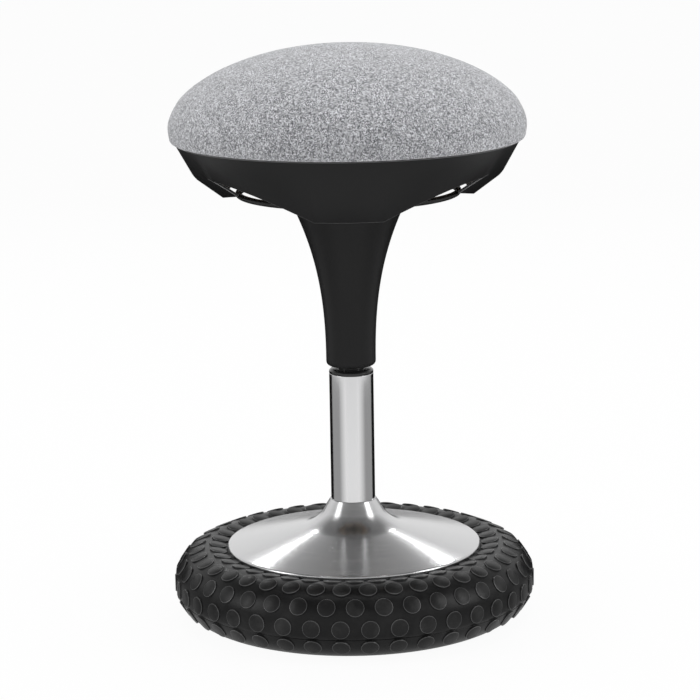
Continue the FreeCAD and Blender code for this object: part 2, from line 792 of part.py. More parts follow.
def make_under_shell():
    """Moulded bowl under the seat: steep flank, flat-cut aprons front and back, slanting
    hand cuts between them, a folded-in lobe at each side, and a screwed inner flange."""
    skin = shell_wall / math.sin(math.radians(shell_flank))
    top, low = board_top, shell_apron_height
    wall = turned_polygon([(shell_radius(low), low), (shell_radius(top), top),
                           (shell_radius(top) - skin, top), (shell_radius(low) - skin, low)])
    flange_low = flange_top - shell_flange_wall
    flange = ring(shell_flange_radius, shell_radius(flange_low) - skin / 2, flange_low, flange_top)
    deep = low - lobe_reach
    inside = turned_polygon([(0, deep), (shell_radius(deep), deep),
                             (shell_radius(top), top), (0, top)])
    signs = ((1, 1), (1, -1), (-1, 1), (-1, -1))
    hand_cuts = [half_space_below(shell_cut_height, shell_cut_side, shell_cut_front, *sign)
                 for sign in signs]
    edge_height = lobe_edge_height - lobe_slope * lobe_edge_radius
    lobe_cuts = [half_space_below(edge_height, lobe_slope, lobe_rise, *sign) for sign in signs]
    lobe_tops = [half_space_below(edge_height + lobe_wall, lobe_slope, lobe_rise, *sign)
                 for sign in signs]
    under_lobes = lobe_cuts[0].fuse(lobe_cuts[1:])
    over_lobes = lobe_tops[0].fuse(lobe_tops[1:])
    lobes = over_lobes.cut(under_lobes).common(inside)
    far = shell_radius(top)
    near = lobe_opening - lobe_opening_taper * far
    corners = [FreeCAD.Vector(x, y, 0) for x, y in
               ((lobe_opening, 0), (near, far), (-near, far),
                (-lobe_opening, 0), (-near, -far), (near, -far))]
    opening = Part.Face(Part.makePolygon(corners + corners[:1]))
    lobes = lobes.cut(opening.extrude(AXIS * board_top))
    lip_cuts = [half_space_below(shell_cut_height - lobe_lip_drop, shell_cut_side,
                                 shell_cut_front, *sign) for sign in signs]
    body = wall.cut(under_lobes).cut(hand_cuts).fuse(lobes.cut(lip_cuts)).fuse(flange)
    holes = bolt_holes(shell_screw_circle_radius, seat_screw_count, small_screw_radius + hole_gap,
                       flange_low - 1, flange_top + 1, 45)
    return body.cut(holes).removeSplitter()


def make_shell_screws():
    centre = FreeCAD.Vector(shell_screw_circle_radius, 0, 0)
    seat = flange_top - shell_flange_wall
    head = Part.makeCylinder(small_screw_head_radius, small_screw_head,
                             centre + AXIS * (seat - small_screw_head))
    shank = Part.makeCylinder(small_screw_radius, small_screw_length, centre + AXIS * seat)
    return Part.makeCompound(around(head.fuse(shank), seat_screw_count, 45))


makers = {
    "tyre": make_tyre,
    "rim": make_rim,
    "base_plate": make_base_plate,
    "bottom_pan": make_bottom_pan,
    "ballast_ring": make_ballast,
    "ballast_screws": make_ballast_screws,
    "hub_sleeve": make_hub_sleeve,
    "outer_tube": make_outer_tube,
    "guide_bush": make_guide_bush,
    "lower_race": lambda: make_race(race_bottom),
    "upper_race": lambda: make_race(collar_bottom - race_thickness),
    "bearing_balls": make_bearing_balls,
    "ball_cage": make_ball_cage,
    "piston_rod": make_piston_rod,
    "piston": make_piston,
    "rubber_buffer": make_buffer,
    "end_washer": make_washer,
    "rod_clip": make_clip,
    "gas_cylinder": make_gas_cylinder,
    "seal_head": make_seal_head,
    "valve_pin": make_valve_pin,
    "shroud": make_shroud,
    "shroud_screws": make_shroud_screws,
    "taper_socket": make_socket,
    "seat_plate": make_seat_plate,
    "seat_screws": make_seat_screws,
    "tee_nuts": make_tee_nuts,
    "fulcrum_cup": make_fulcrum_cup,
    "lever_plate": make_lever_plate,
    "release_ring": make_release_ring,
    "seat_board": make_seat_board,
    "seat_foam": make_seat_foam,
    "seat_cover": make_seat_cover,
    "under_shell": make_under_shell,
    "shell_screws": make_shell_screws,
}

os.makedirs("parts", exist_ok=True)
for node, make in makers.items():
    shape = make()
    shape.exportStep("parts/" + node + ".step")
    box = shape.BoundBox
    print(f"{node}: {len(shape.Solids)} solids, {shape.Volume / 1000:.1f} cm3, "
          f"valid {shape.isValid()}, Z {box.ZMin:.1f} to {box.ZMax:.1f}, R {box.XMax:.1f}")
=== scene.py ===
import math
import bpy
from mathutils import Matrix, Vector


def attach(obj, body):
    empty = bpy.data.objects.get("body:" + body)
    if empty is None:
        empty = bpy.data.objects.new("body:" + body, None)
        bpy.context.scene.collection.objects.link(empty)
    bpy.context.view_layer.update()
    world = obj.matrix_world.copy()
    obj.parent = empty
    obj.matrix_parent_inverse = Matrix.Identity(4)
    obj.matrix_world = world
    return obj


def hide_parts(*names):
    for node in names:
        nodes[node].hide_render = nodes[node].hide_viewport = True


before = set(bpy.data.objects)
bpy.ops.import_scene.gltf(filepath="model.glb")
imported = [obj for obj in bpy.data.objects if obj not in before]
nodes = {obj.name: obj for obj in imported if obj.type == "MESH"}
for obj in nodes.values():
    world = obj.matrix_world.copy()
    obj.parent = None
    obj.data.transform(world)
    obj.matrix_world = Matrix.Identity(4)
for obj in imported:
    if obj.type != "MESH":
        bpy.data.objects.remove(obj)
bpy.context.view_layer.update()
print("frame loaded:", len(nodes), "CAD nodes")

# the photograph's own view
cameraView = {
    "place": (-0.00100, -2.89669, 0.90536),
    "pitch": 0.20462,      # downwards
    "roll": -0.0162,       # the photograph leans a little to the left
    "lens": 135.0,
    "sensor": 36.0,
}


def placeCamera():
    values = cameraView
    bpy.ops.object.camera_add(location=values["place"])
    camera = bpy.context.object
    tilt = Matrix.Rotation(math.pi / 2 - values["pitch"], 3, "X")
    camera.rotation_euler = (tilt @ Matrix.Rotation(values["roll"], 3, "Z")).to_euler()
    camera.data.lens = values["lens"]
    camera.data.sensor_width = values["sensor"]
    camera.data.clip_end = 100
    bpy.context.scene.camera = camera


placeCamera()


# shader maths as plain expressions
class Signal:
    def __init__(self, finish, socket):
        self.finish = finish
        self.socket = socket

    def calc(self, operation, *values):
        return self.finish.node("ShaderNodeMath", {"operation": operation}, values)

    def __add__(self, other):
        return self.calc("ADD", self, other)

    def __radd__(self, other):
        return self.calc("ADD", other, self)

    def __sub__(self, other):
        return self.calc("SUBTRACT", self, other)

    def __rsub__(self, other):
        return self.calc("SUBTRACT", other, self)

    def __mul__(self, other):
        return self.calc("MULTIPLY", self, other)

    def __rmul__(self, other):
        return self.calc("MULTIPLY", other, self)

    def __truediv__(self, other):
        return self.calc("DIVIDE", self, other)

    def __rtruediv__(self, other):
        return self.calc("DIVIDE", other, self)

    def __pow__(self, other):
        return self.calc("POWER", self, other)

    def __rpow__(self, other):
        return self.calc("POWER", other, self)

    def floor(self):
        return self.calc("FLOOR", self)

    def fraction(self):
        return self.calc("FRACT", self)

    def sine(self):
        return self.calc("SINE", self)

    def limited(self):
        return self.finish.node("ShaderNodeClamp", {}, {"Value": self})


class Finish:
    def __init__(self, name, owner=None):
        self.material = owner or bpy.data.materials.new(name)
        self.material.use_nodes = True
        self.tree = self.material.node_tree
        self.tree.nodes.clear()

    def node(self, kind, settings=None, values=None, output=0):
        made = self.tree.nodes.new(kind)
        for key, value in (settings or {}).items():
            if key == "stops":
                stops = made.color_ramp.elements
                while len(stops) < len(value):
                    stops.new(0.5)
                for stop, (place, colour) in zip(stops, value):
                    stop.position = place
                    stop.color = colour
            else:
                setattr(made, key, value)
        pairs = values.items() if isinstance(values, dict) else enumerate(values or ())
        for key, value in pairs:
            if isinstance(value, Signal):
                self.tree.links.new(value.socket, made.inputs[key])
            else:
                made.inputs[key].default_value = value
        return Signal(self, made.outputs[output])

    def place(self):
        return self.node("ShaderNodeTexCoord", output="Object")

    def split(self, vector):
        parts = self.node("ShaderNodeSeparateXYZ", {}, [vector])
        made = parts.socket.node
        return [Signal(self, made.outputs[index]) for index in range(3)]

    def join(self, x, y, z):
        return self.node("ShaderNodeCombineXYZ", {}, [x, y, z])

    def stretched(self, vector, scale):
        return self.node("ShaderNodeMapping", {}, {"Vector": vector, "Scale": scale})

    def noise(self, vector, scale, detail=2.0, roughness=0.5):
        return self.node("ShaderNodeTexNoise", {}, {"Vector": vector, "Scale": scale,
                         "Detail": detail, "Roughness": roughness}, "Fac")

    def tint(self, factor, first, second):
        return self.node("ShaderNodeMix", {"data_type": "RGBA"},
                         {0: factor, 6: first, 7: second}, 2)

    def bump(self, height, distance, strength=1.0):
        return self.node("ShaderNodeBump", {}, {"Height": height, "Distance": distance,
                         "Strength": strength}, "Normal")

    def surface(self, **values):
        named = {key.replace("_", " "): value for key, value in values.items()}
        shader = self.node("ShaderNodeBsdfPrincipled", {}, named)
        return self.show(shader)

    def show(self, shader, kind="ShaderNodeOutputMaterial"):
        output = self.tree.nodes.new(kind)
        self.tree.links.new(shader.socket, output.inputs["Surface"])
        return self.material


def grey(level):
    return (level, level, level, 1.0)


# finishes, one dictionary of values beside each
weaveLook = {
    "pitch": 0.00112, "slub": 0.50, "slubShift": 9.0, "shade": 0.04, "seeds": (0.5, 700.5),
    "dark": (0.060, 0.062, 0.070, 1), "middle": (0.375, 0.378, 0.40, 1),
    "pale": (0.86, 0.87, 0.90, 1), "middleAt": 0.52, "contrast": 0.95, "relief": 0.00018,
    "toneRelief": 0.3, "cloudScale": 22.0, "cloudShare": 0.09, "roughness": 0.92,
    "sheen": 0.30, "sheenRoughness": 0.50,
}


def yarnTone(cloth, cell, along, seed):
    # each yarn is cut into slubs of their own tone, which start anywhere
    start = cloth.node("ShaderNodeTexWhiteNoise", {"noise_dimensions": "1D"}, {"W": cell + seed})
    slub = (along * weaveLook["slub"] + start * weaveLook["slubShift"]).floor()
    return cloth.node("ShaderNodeTexWhiteNoise", {"noise_dimensions": "2D"},
                      {"Vector": cloth.join(cell + seed, slub, 0.0)})


def makeWeave():
    look = weaveLook
    cloth = Finish("greyWeave")
    flat = cloth.node("ShaderNodeUVMap", {"uv_map": "weave"})
    u, v, _ = cloth.split(flat)
    warp, weft = u / look["pitch"], v / look["pitch"]
    over = ((warp.floor() + weft.floor()) / 2).fraction() * 2  # 1 where the warp is on top
    warpTone = yarnTone(cloth, warp.floor(), weft, look["seeds"][0]) + look["shade"]
    weftTone = yarnTone(cloth, weft.floor(), warp, look["seeds"][1]) - look["shade"]
    tone = warpTone * over + weftTone * (1 - over)
    cloud = cloth.noise(flat, look["cloudScale"], 2.0)
    tone = ((tone - 0.5) * look["contrast"] + 0.5
            + (cloud - 0.5) * look["cloudShare"]).limited()
    colour = cloth.node("ShaderNodeValToRGB", {"stops": [
        (0.0, look["dark"]), (look["middleAt"], look["middle"]), (1.0, look["pale"])]}, [tone])
    warpRound = (warp.fraction() * math.pi).sine()
    weftRound = (weft.fraction() * math.pi).sine()
    relief = warpRound * weftRound + tone * look["toneRelief"]
    return cloth.surface(
        Base_Color=colour, Roughness=look["roughness"], Sheen_Weight=look["sheen"],
        Sheen_Roughness=look["sheenRoughness"],
        Normal=cloth.bump(relief, look["relief"]))


handledLook = {"scale": 30.0, "share": 0.10}
plasticLook = {"colour": (0.0095, 0.0095, 0.0098, 1), "roughness": 0.40, "grain": 2600.0,
               "relief": 0.00003, "specular": 0.20}
# the edge finish is lighter and glossier than the shell's own: a painted highlight along the
# bevelled edges
edgeHighlightLook = {"colour": (0.11, 0.11, 0.112, 1), "roughness": 0.34, "grain": 2600.0,
            "relief": 0.00001, "specular": 0.40}


def makeSatinPlastic(name, look):
    plastic = Finish(name)
    place = plastic.place()
    grain = plastic.noise(place, look["grain"], 2.0)
    handled = plastic.noise(place, handledLook["scale"], 3.0)
    return plastic.surface(
        Base_Color=look["colour"],
        Roughness=look["roughness"] + (handled - 0.5) * handledLook["share"],
        Specular_IOR_Level=look["specular"],
        Normal=plastic.bump(grain, look["relief"]))


dustLook = {"cloud": 38.0, "grain": 1400.0, "start": 0.48, "slope": 3.0, "share": 0.22}
rubberLook = {"colour": (0.0075, 0.0075, 0.0077, 1), "dustAndHighlight": (0.020, 0.020, 0.020, 1),
              "roughness": 0.32, "relief": 0.00006, "specular": 0.17}
# the stud tops are a little lighter than the tyre, partly dust and partly a painted highlight on
# the flat tops
studTopHighlightLook = {"colour": (0.009, 0.009, 0.0092, 1), "dustAndHighlight": (0.034, 0.034, 0.034, 1),
               "roughness": 0.36, "relief": 0.00008, "specular": 0.22}
# the stud rims' lighter colour is a painted highlight on their bevels
studEdgeHighlightLook = {"colour": (0.055, 0.055, 0.056, 1), "dustAndHighlight": (0.11, 0.11, 0.11, 1),
                "roughness": 0.30, "relief": 0.00002, "specular": 0.50}


def makeRubber(name, look):
    rubber = Finish(name)
    place = rubber.place()
    cloud = rubber.noise(place, dustLook["cloud"], 4.0, 0.6)
    grain = rubber.noise(place, dustLook["grain"], 2.0)
    dust = ((cloud - dustLook["start"]) * dustLook["slope"]).limited()
    # the cloud mixes in a lighter tone: dust on the tyre, and a painted highlight on the stud tops
    # and rims
    return rubber.surface(
        Base_Color=rubber.tint(dust, look["colour"], look["dustAndHighlight"]),
        Roughness=look["roughness"] + (cloud - 0.5) * dustLook["share"],
        Specular_IOR_Level=look["specular"],
        Normal=rubber.bump(grain, look["relief"]))


brushedLook = {"colour": (0.58, 0.58, 0.585, 1), "roughness": 0.23, "rings": 4200.0,
               "relief": 0.000010, "lineShare": 0.26, "patches": 60.0, "patchShare": 0.05,
               "anisotropy": 0.70}


def makeBrushedPlate():
    look = brushedLook
    steel = Finish("brushedPlate")
    x, y, z = steel.split(steel.place())
    radius = (x * x + y * y) ** 0.5
    lines = steel.noise(steel.join(radius, z, 0.0), look["rings"], 3.0, 0.7)
    patch = steel.noise(steel.join(x, y, z), look["patches"], 3.0)
    return steel.surface(
        Base_Color=look["colour"], Metallic=1.0,
        Roughness=look["roughness"] + (lines - 0.5) * look["lineShare"]
        + (patch - 0.5) * look["patchShare"],
        Anisotropic=look["anisotropy"], Anisotropic_Rotation=0.25,  # a quarter turn
        Normal=steel.bump(lines, look["relief"]))


tubeLook = {"colour": (0.74, 0.74, 0.745, 1), "roughness": 0.13, "lines": 2200.0,
            "lineLength": 0.1, "lineShare": 0.06, "clouds": 45.0, "cloudShare": 0.04,
            "relief": 0.000002}


def makeTubeChrome():
    look = tubeLook
    chrome = Finish("tubeChrome")
    x, y, z = chrome.split(chrome.place())
    around = look["lineLength"]
    lines = chrome.noise(chrome.join(x * around, y * around, z), look["lines"], 2.0)
    cloud = chrome.noise(chrome.place(), look["clouds"], 2.0)
    return chrome.surface(
        Base_Color=look["colour"], Metallic=1.0,
        Roughness=look["roughness"] + (lines - 0.5) * look["lineShare"]
        + (cloud - 0.5) * look["cloudShare"],
        Normal=chrome.bump(lines, look["relief"]))


metalLook = {"darker": 0.82, "patchShare": 0.2, "grain": 1800.0}
paintLook = {"lighter": 1.35, "wear": 40.0, "wearShare": 0.12}


def makeMetal(name, colour, roughness, patchScale=70.0, relief=0.00001):
    metal = Finish(name)
    place = metal.place()
    patch = metal.noise(place, patchScale, 4.0)
    grain = metal.noise(place, metalLook["grain"], 2.0)
    darker = [part * metalLook["darker"] for part in colour[:3]] + [1]
    return metal.surface(
        Base_Color=metal.tint(patch, colour, darker),
        Metallic=1.0, Roughness=roughness + (patch - 0.5) * metalLook["patchShare"],
        Normal=metal.bump(grain, relief))


def makePaint(name, colour, roughness, grainScale=900.0, relief=0.00002, specular=0.5):
    paint = Finish(name)
    place = paint.place()
    grain = paint.noise(place, grainScale, 2.0)
    wear = paint.noise(place, paintLook["wear"], 4.0)
    lighter = [part * paintLook["lighter"] for part in colour[:3]] + [1]
    return paint.surface(
        Base_Color=paint.tint(wear, colour, lighter), Specular_IOR_Level=specular,
        Roughness=roughness + (wear - 0.5) * paintLook["wearShare"],
        Normal=paint.bump(grain, relief))


plyLook = {"plies": 760.0, "glueLine": 12.0, "ply": (0.55, 0.40, 0.25, 1),
           "crossPly": (0.36, 0.24, 0.14, 1), "fibre": (0.62, 0.47, 0.31, 1),
           "fibreShare": 0.6, "stretch": (12.0, 160.0, 160.0), "roughness": 0.7,
           "fibreGloss": 0.15, "relief": 0.0002}


def makePlywood():
    look = plyLook
    wood = Finish("birchPly")
    place = wood.place()
    plies = (wood.split(place)[2] * look["plies"]).fraction()
    fibre = wood.noise(wood.stretched(place, look["stretch"]), 3.0, 5.0, 0.65)
    layer = ((plies - 0.5) * look["glueLine"]).limited()
    band = wood.tint(layer, look["ply"], look["crossPly"])
    colour = wood.tint(fibre * look["fibreShare"], band, look["fibre"])
    return wood.surface(Base_Color=colour,
                        Roughness=look["roughness"] - fibre * look["fibreGloss"],
                        Normal=wood.bump(fibre, look["relief"]))


looks = {
    "weave": makeWeave(),
    "rubber": makeRubber("tyreRubber", rubberLook),
    "studTop": makeRubber("studTop", studTopHighlightLook),
    "studEdge": makeRubber("studEdge", studEdgeHighlightLook),
    "plate": makeBrushedPlate(),
    "tube": makeTubeChrome(),
    "shell": makeSatinPlastic("shellBlack", plasticLook),
    "shellEdge": makeSatinPlastic("shellEdge", edgeHighlightLook),
    "bush": makePaint("bushBlack", (0.010, 0.010, 0.010, 1), 0.18, 600.0, 0.00001),
    "strut": makePaint("strutBlack", (0.014, 0.014, 0.014, 1), 0.26),
    "ring": makePaint("ringBlack", (0.007, 0.007, 0.007, 1), 0.36, specular=0.22),
    "paint": makePaint("powderBlack", (0.016, 0.016, 0.016, 1), 0.5, 1500.0, 0.00008),
    "rim": makePaint("rimBlack", (0.012, 0.012, 0.012, 1), 0.4),
    "iron": makePaint("castIron", (0.05, 0.048, 0.046, 1), 0.75, 420.0, 0.0003),
    "zinc": makeMetal("zincScrews", (0.62, 0.63, 0.62, 1), 0.32),
    "bearing": makeMetal("bearingSteel", (0.66, 0.66, 0.66, 1), 0.16),
    "rod": makeMetal("rodChrome", (0.78, 0.78, 0.78, 1), 0.08),
    "pin": makeMetal("pinSteel", (0.58, 0.58, 0.57, 1), 0.28),
    "nylon": makePaint("nylonBlack", (0.018, 0.018, 0.018, 1), 0.48),
    "pale": makePaint("nylonNatural", (0.62, 0.58, 0.48, 1), 0.45),
    "buffer": makePaint("bufferRubber", (0.02, 0.02, 0.02, 1), 0.8, 300.0, 0.0002),
    "foam": makePaint("cushionFoam", (0.60, 0.55, 0.42, 1), 0.95, 500.0, 0.0006),
    "ply": makePlywood(),
}

nodeLooks = {
    "rubber": ["tyre"],
    "plate": ["base_plate"],
    "tube": ["outer_tube"],
    "shell": ["shroud", "under_shell"],
    "bush": ["guide_bush"],
    "strut": ["gas_cylinder"],
    "ring": ["release_ring"],
    "paint": ["bottom_pan", "hub_sleeve", "taper_socket", "seat_plate", "lever_plate"],
    "rim": ["rim"],
    "iron": ["ballast_ring"],
    "zinc": ["ballast_screws", "end_washer", "shroud_screws", "seat_screws", "tee_nuts",
             "shell_screws"],
    "bearing": ["lower_race", "upper_race", "bearing_balls", "rod_clip"],
    "rod": ["piston_rod"],
    "pin": ["valve_pin"],
    "nylon": ["piston", "seal_head", "fulcrum_cup"],
    "pale": ["ball_cage"],
    "buffer": ["rubber_buffer"],
    "foam": ["seat_foam"],
    "weave": ["seat_cover"],
    "ply": ["seat_board"],
}
for look, names in nodeLooks.items():
    for name in names:
        data = nodes[name].data
        data.materials.clear()
        data.materials.append(looks[look])
print("finishes ready:", len(looks))


# helpers for edit mode work
def leaveEdit():
    if bpy.context.object and bpy.context.object.mode == "EDIT":
        bpy.ops.object.mode_set(mode="OBJECT")


def fresh():
    leaveEdit()
    bpy.ops.object.select_all(action="DESELECT")


def named(name):
    piece = bpy.context.object
    piece.name = name
    piece.data.name = name
    return piece


def pick(piece, kind, wanted):
    leaveEdit()
    mesh = piece.data
    for group in (mesh.vertices, mesh.edges, mesh.polygons):
        group.foreach_set("select", [False] * len(group))
    modes = {"vertices": (True, False, False), "edges": (False, True, False),
             "polygons": (False, False, True)}
    bpy.context.tool_settings.mesh_select_mode = modes[kind]
    for part in getattr(mesh, kind):
        if wanted(part):
            part.select = True
    bpy.ops.object.mode_set(mode="EDIT")


def pickAll(piece):
    pick(piece, "vertices", lambda part: True)


def settle(piece):
    leaveEdit()
    bpy.ops.object.transform_apply(location=True, rotation=True, scale=True)


def cleanUp(piece, gap=0.000002):
    pickAll(piece)
    bpy.ops.mesh.remove_doubles(threshold=gap)
    bpy.ops.mesh.normals_make_consistent(inside=False)
    leaveEdit()


def modify(piece, kind, **values):
    modifier = piece.modifiers.new(kind.lower(), kind)
    for key, value in values.items():
        setattr(modifier, key, value)
    bpy.context.view_layer.objects.active = piece
    bpy.ops.object.modifier_apply(modifier=modifier.name)


def smooth(piece, angle=35):
    leaveEdit()
    fresh()
    piece.select_set(True)
    bpy.context.view_layer.objects.active = piece
    bpy.ops.object.shade_smooth_by_angle(angle=math.radians(angle))


def paintWith(piece, *names):
    for name in names:
        piece.data.materials.append(looks[name])


def finishPiece(piece, body, replaced, angle=35):
    smooth(piece, angle)
    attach(piece, body)
    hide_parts(*replaced)
    piece.select_set(False)
    print("made", piece.name, "with", len(piece.data.polygons), "faces")


def turn(name, profile, sides, closed=True):
    fresh()
    first = profile[0]
    bpy.ops.mesh.primitive_plane_add(size=0.001, location=(first[0], 0, first[1]))
    piece = named(name)
    settle(piece)
    pickAll(piece)
    bpy.ops.mesh.merge(type="CENTER")
    for before, after in zip(profile, profile[1:]):
        step = (after[0] - before[0], 0, after[1] - before[1])
        bpy.ops.mesh.extrude_vertices_move(TRANSFORM_OT_translate={"value": step})
    if closed:
        ends = [Vector((point[0], 0, point[1])) for point in (profile[0], profile[-1])]
        pick(piece, "vertices", lambda v: min((v.co - end).length for end in ends) < 0.000005)
        bpy.ops.mesh.edge_face_add()
    for index, point in enumerate(profile):
        if len(point) > 2:
            roundCorner(piece, profile, index, point[2])
    pickAll(piece)
    bpy.ops.mesh.spin(steps=sides, angle=2 * math.pi, center=(0, 0, 0), axis=(0, 0, 1))
    cleanUp(piece)
    return piece


def roundCorner(piece, profile, index, bend):
    corner = Vector(profile[index][:2])
    back = (Vector(profile[index - 1][:2]) - corner).normalized()
    ahead = (Vector(profile[(index + 1) % len(profile)][:2]) - corner).normalized()
    half = back.angle(ahead) / 2
    leg = bend / math.tan(half)
    place = Vector((corner.x, 0, corner.y))
    pick(piece, "vertices", lambda v: (v.co - place).length < 0.000005)
    # a step for every six degrees of the bend
    rounds = max(2, min(16, int(math.degrees(math.pi - 2 * half) / 6)))
    bpy.ops.mesh.bevel(offset=leg, offset_type="OFFSET", segments=rounds, profile=0.5,
                       affect="VERTICES", clamp_overlap=False)


# the column, from the base upwards
tubeSize = {"radius": 0.025, "wall": 0.0015, "low": 0.017, "high": 0.2786,
            "endWall": 0.003, "hole": 0.0054, "edge": 0.0004, "footBend": 0.001, "sides": 160}


def makeTube():
    size = tubeSize
    inner = size["radius"] - size["wall"]
    profile = [(size["hole"], size["low"]), (size["radius"], size["low"], size["footBend"]),
               (size["radius"], size["high"], size["edge"]), (inner, size["high"], size["edge"]),
               (inner, size["low"] + size["endWall"]),
               (size["hole"], size["low"] + size["endWall"])]
    tube = turn("columnTube", profile, size["sides"])
    paintWith(tube, "tube")
    finishPiece(tube, "base", ["outer_tube"])


bushSize = {"bore": 0.01405, "sleeve": 0.02345, "head": 0.025, "low": 0.2006,
            "seat": 0.27865, "high": 0.28385, "bevel": 0.0022, "edge": 0.0003,
            "leadIn": 0.001, "footTaper": 0.003, "sides": 128}


def makeBush():
    size = bushSize
    leadIn = size["leadIn"]
    profile = [(size["bore"] + leadIn, size["low"]), (size["sleeve"] - leadIn, size["low"]),
               (size["sleeve"], size["low"] + size["footTaper"]), (size["sleeve"], size["seat"]),
               (size["head"], size["seat"], size["edge"]),
               (size["head"], size["high"] - size["bevel"], size["edge"]),
               (size["head"] - size["bevel"], size["high"], size["edge"]),
               (size["bore"] + leadIn, size["high"], size["edge"]),
               (size["bore"], size["high"] - leadIn), (size["bore"], size["low"] + leadIn)]
    bush = turn("columnBush", profile, size["sides"])
    paintWith(bush, "bush")
    finishPiece(bush, "base", ["guide_bush"])


strutSize = {"radius": 0.014, "inner": 0.0125, "low": 0.0523, "taperStart": 0.448,
             "taper": 0.013, "high": 0.506, "mouth": 0.0095, "bore": 0.00405,
             "boreFloor": 0.4765, "roof": 0.440, "floorWall": 0.0015, "footBend": 0.001,
             "topBend": 0.0008, "boreBend": 0.0003, "sides": 96}


def makeStrut():
    size = strutSize
    floor = size["low"] + size["floorWall"]
    profile = [(size["mouth"], size["low"]), (size["radius"], size["low"], size["footBend"]),
               (size["radius"], size["taperStart"]),
               (size["taper"], size["high"], size["topBend"]),
               (size["bore"], size["high"], size["boreBend"]), (size["bore"], size["boreFloor"]),
               (0, size["boreFloor"]), (0, size["roof"]), (size["inner"], size["roof"]),
               (size["inner"], floor), (size["mouth"], floor)]
    strut = turn("gasStrut", profile, size["sides"])
    paintWith(strut, "strut")
    finishPiece(strut, "seat", ["gas_cylinder"])


shroudSize = {"foot": 0.028, "low": 0.2876, "flareStart": 0.290, "high": 0.4917,
              "flare": 0.046, "power": 2.48, "wall": 0.0025, "lip": 0.005,
              "bore": 0.0152, "boreBend": 0.0005, "flangeInner": 0.048, "steps": 28,
              "afterLip": 0.0004, "sides": 160}


def shroudRadius(height):
    size = shroudSize
    share = max(0.0, height - size["flareStart"]) / (size["high"] - size["flareStart"])
    return size["foot"] + size["flare"] * share ** size["power"]


def makeShroud():
    size = shroudSize
    wall, low, high = size["wall"], size["low"], size["high"]
    start = low + size["lip"] + size["afterLip"]
    heights = [start + (high - start) * step / size["steps"] for step in range(size["steps"] + 1)]
    outer = [(shroudRadius(height), height) for height in heights]
    inner = [(shroudRadius(height) - wall, height) for height in heights]
    inner = [point for point in inner if point[1] < high - wall]
    profile = [(size["bore"], low, size["boreBend"]), (size["foot"], low, size["lip"])] + outer
    profile += [(size["flangeInner"], high), (size["flangeInner"], high - wall)]
    profile += [(shroudRadius(high - wall) - wall, high - wall)] + inner[::-1]
    profile += [(size["foot"] - wall, low + wall), (size["bore"], low + wall)]
    shroud = turn("columnShroud", profile, size["sides"])
    paintWith(shroud, "shell")
    finishPiece(shroud, "seat", ["shroud"])


# the base
plateSize = {"neckRadius": 0.0263, "neckHigh": 0.1327, "bendRadius": 0.04332,
             "bendHigh": 0.10493, "fillet": 0.040, "rim": 0.1445, "rimHigh": 0.0812,
             "lipLow": 0.0755, "lipBend": 0.0023, "wall": 0.0015, "sides": 256}


def makeBasePlate():
    size = plateSize
    profile = [(size["neckRadius"], size["neckHigh"]),
               (size["bendRadius"], size["bendHigh"], size["fillet"]),
               (size["rim"], size["rimHigh"], size["lipBend"]), (size["rim"], size["lipLow"])]
    plate = turn("spunBasePlate", profile, size["sides"], closed=False)
    outward = sum(face.normal.z for face in plate.data.polygons)
    if outward < 0:
        pickAll(plate)
        bpy.ops.mesh.flip_normals()
        leaveEdit()
    modify(plate, "SOLIDIFY", thickness=size["wall"], offset=-1, use_even_offset=True)
    paintWith(plate, "plate")
    finishPiece(plate, "base", ["base_plate"], 50)


tyreSize = {"ring": 0.164, "section": 0.0402, "middle": 0.0400, "around": 240, "across": 60,
            "foot": 0.0006, "partingAngle": -18.0, "partingWidth": 0.0006, "partingDepth": 0.0006,
            "studs": 40, "studRadius": 0.0100, "studTop": 0.0412, "studSink": 0.0382,
            "studEdge": 0.0007, "studSides": 24,
            "rows": ((102.0, 0.0), (66.5, 0.5), (33.5, 0.0), (0.0, 0.5), (-33.0, 0.5))}


def makeStud():
    size = tyreSize
    fresh()
    height = size["studTop"] - size["studSink"]
    bpy.ops.mesh.primitive_cylinder_add(vertices=size["studSides"], radius=size["studRadius"],
                                        depth=height,
                                        location=(0, 0, size["studSink"] + height / 2))
    stud = named("stud")
    paintWith(stud, "studTop", "studEdge")
    settle(stud)
    top = size["studTop"]
    mesh = stud.data
    pick(stud, "edges", lambda edge: all(abs(mesh.vertices[i].co.z - top) < 0.00001
                                         for i in edge.vertices))
    # the rim's bevel takes the second slot, the lighter rim colour, a painted highlight
    bpy.ops.mesh.bevel(offset=size["studEdge"], segments=2, profile=0.5, affect="EDGES",
                       material=1)
    leaveEdit()
    return stud


